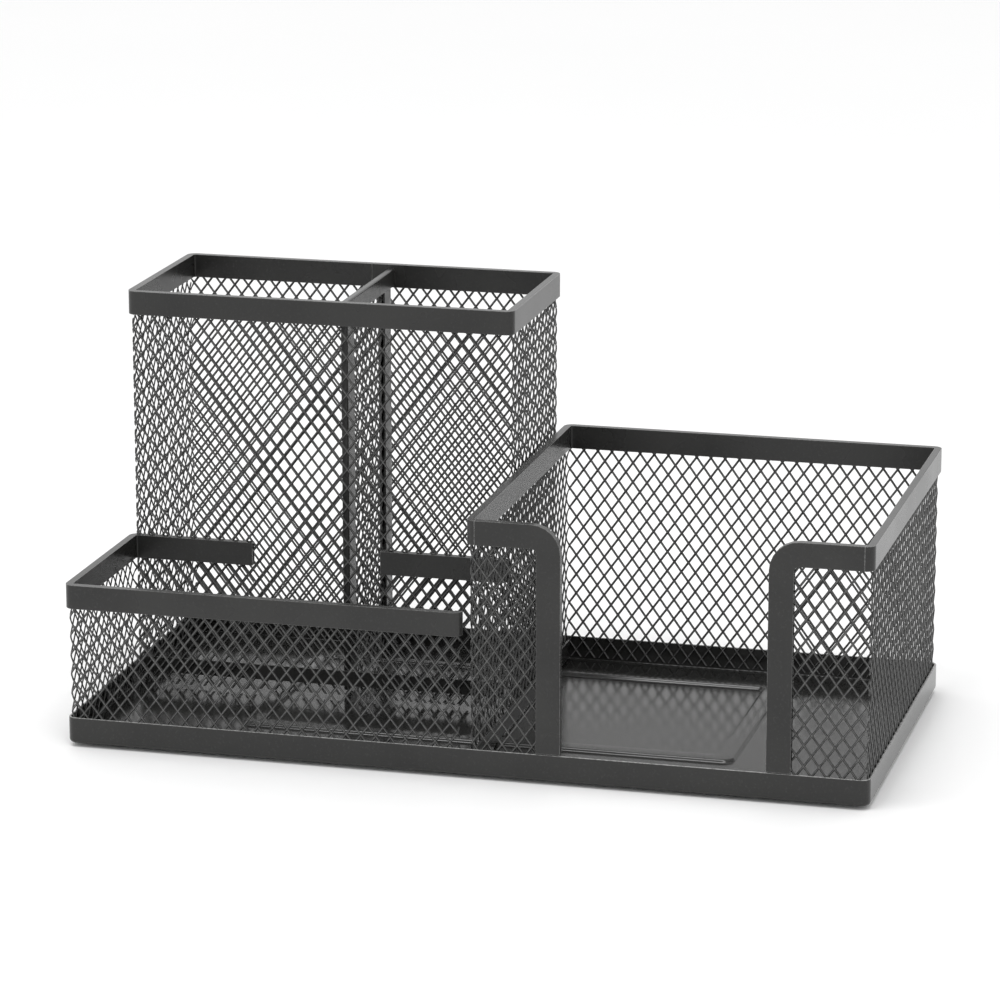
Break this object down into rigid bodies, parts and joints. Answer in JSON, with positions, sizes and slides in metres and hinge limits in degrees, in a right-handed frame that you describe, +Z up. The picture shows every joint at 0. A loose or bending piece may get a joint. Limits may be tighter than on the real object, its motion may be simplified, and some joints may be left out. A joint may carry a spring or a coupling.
{
  "type": "desk organizer",
  "caption": "Black steel mesh desk organizer with a tall partitioned pen cup, a low front tray and a note holder with a U-shaped front opening, on one stamped base pan.",
  "frame": {"origin": "on the desk, under the middle of the base pan", "axes": "+X to the note holder's side, +Y to the back, +Z up"},
  "size_m": [0.22, 0.111, 0.1148],
  "materials": {
    "band_paint": "satin black powder coat",
    "pan_paint": "semi-gloss black powder coat",
    "mesh_paint": "satin black powder coat on expanded metal",
    "foot_rubber": "matt"
  },
  "bodies": {
    "root": {"base_pan": "pan_paint", "foot_front_left": "foot_rubber", "foot_front_right": "foot_rubber", "foot_back_left": "foot_rubber", "foot_back_right": "foot_rubber", "pen_mesh_front": "mesh_paint", "pen_mesh_back": "mesh_paint", "pen_mesh_left": "mesh_paint", "pen_mesh_right": "mesh_paint", "pen_rim": "band_paint", "pen_front_hem": "band_paint", "divider_mesh": "mesh_paint", "divider_top_rail": "band_paint", "divider_front_strip": "band_paint", "divider_back_strip": "band_paint", "tray_mesh_front": "mesh_paint", "tray_mesh_left": "mesh_paint", "tray_mesh_lap_left": "mesh_paint", "tray_mesh_lap_right": "mesh_paint", "tray_rim": "band_paint", "tray_rear_band": "band_paint", "note_mesh_left": "mesh_paint", "note_mesh_back": "mesh_paint", "note_mesh_right": "mesh_paint", "note_mesh_cheek_left": "mesh_paint", "note_mesh_cheek_right": "mesh_paint", "note_rim": "band_paint", "note_frame_left": "band_paint", "note_frame_right": "band_paint", "note_left_hem": "band_paint"}
  },
  "joints": []
}
